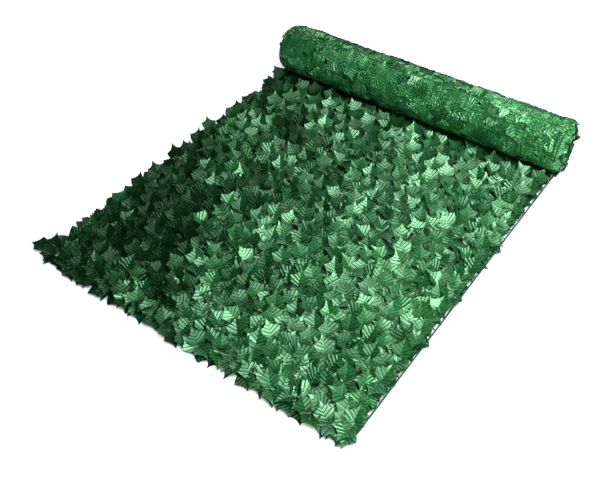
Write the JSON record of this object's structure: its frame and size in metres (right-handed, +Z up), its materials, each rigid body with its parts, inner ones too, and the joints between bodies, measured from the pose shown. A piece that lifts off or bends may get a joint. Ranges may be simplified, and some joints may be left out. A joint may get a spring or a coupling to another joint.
{
  "type": "artificial leaf mesh, partly rolled",
  "caption": "Artificial ivy-leaf privacy mesh, laid leaf side up on the floor, with the rest of its length wound into a roll at its far end.",
  "frame": {"origin": "on the floor, under the middle of the laid run, its roll and their leaf tips taken together", "axes": "+X across the net, +Y along the laid run from its free end to the roll, +Z up"},
  "size_m": [1.067, 1.2558, 0.1705],
  "materials": {
    "net": "dark green moulded net, satin",
    "leaves": "embossed green leaf foil, satin with soft pale highlights",
    "roll": "yellowish green leaf backs pressed behind the dark net, satin"
  },
  "bodies": {
    "root": {"net_laid": "net", "net_selvage": "net", "leaf_row_01": "leaves", "leaf_row_02": "leaves", "leaf_row_03": "leaves", "leaf_row_04": "leaves", "leaf_row_05": "leaves", "leaf_row_06": "leaves", "leaf_row_07": "leaves", "leaf_row_08": "leaves", "leaf_row_09": "leaves", "leaf_row_10": "leaves", "leaf_row_11": "leaves", "leaf_row_12": "leaves", "leaf_row_13": "leaves", "end_leaf_01": "leaves", "end_leaf_02": "leaves", "end_leaf_03": "leaves", "end_leaf_04": "leaves", "end_leaf_05": "leaves", "end_leaf_06": "leaves", "end_leaf_07": "leaves", "end_leaf_08": "leaves", "end_leaf_09": "leaves", "left_leaf_01": "leaves", "left_leaf_02": "leaves", "left_leaf_03": "leaves", "left_leaf_04": "leaves", "left_leaf_05": "leaves", "left_leaf_06": "leaves", "right_leaf_01": "leaves", "right_leaf_02": "leaves", "right_leaf_03": "leaves", "right_leaf_04": "leaves", "right_leaf_05": "leaves", "right_leaf_06": "leaves", "roll": "roll", "roll_tips_left": "leaves", "roll_tips_right": "leaves"}
  },
  "joints": []
}
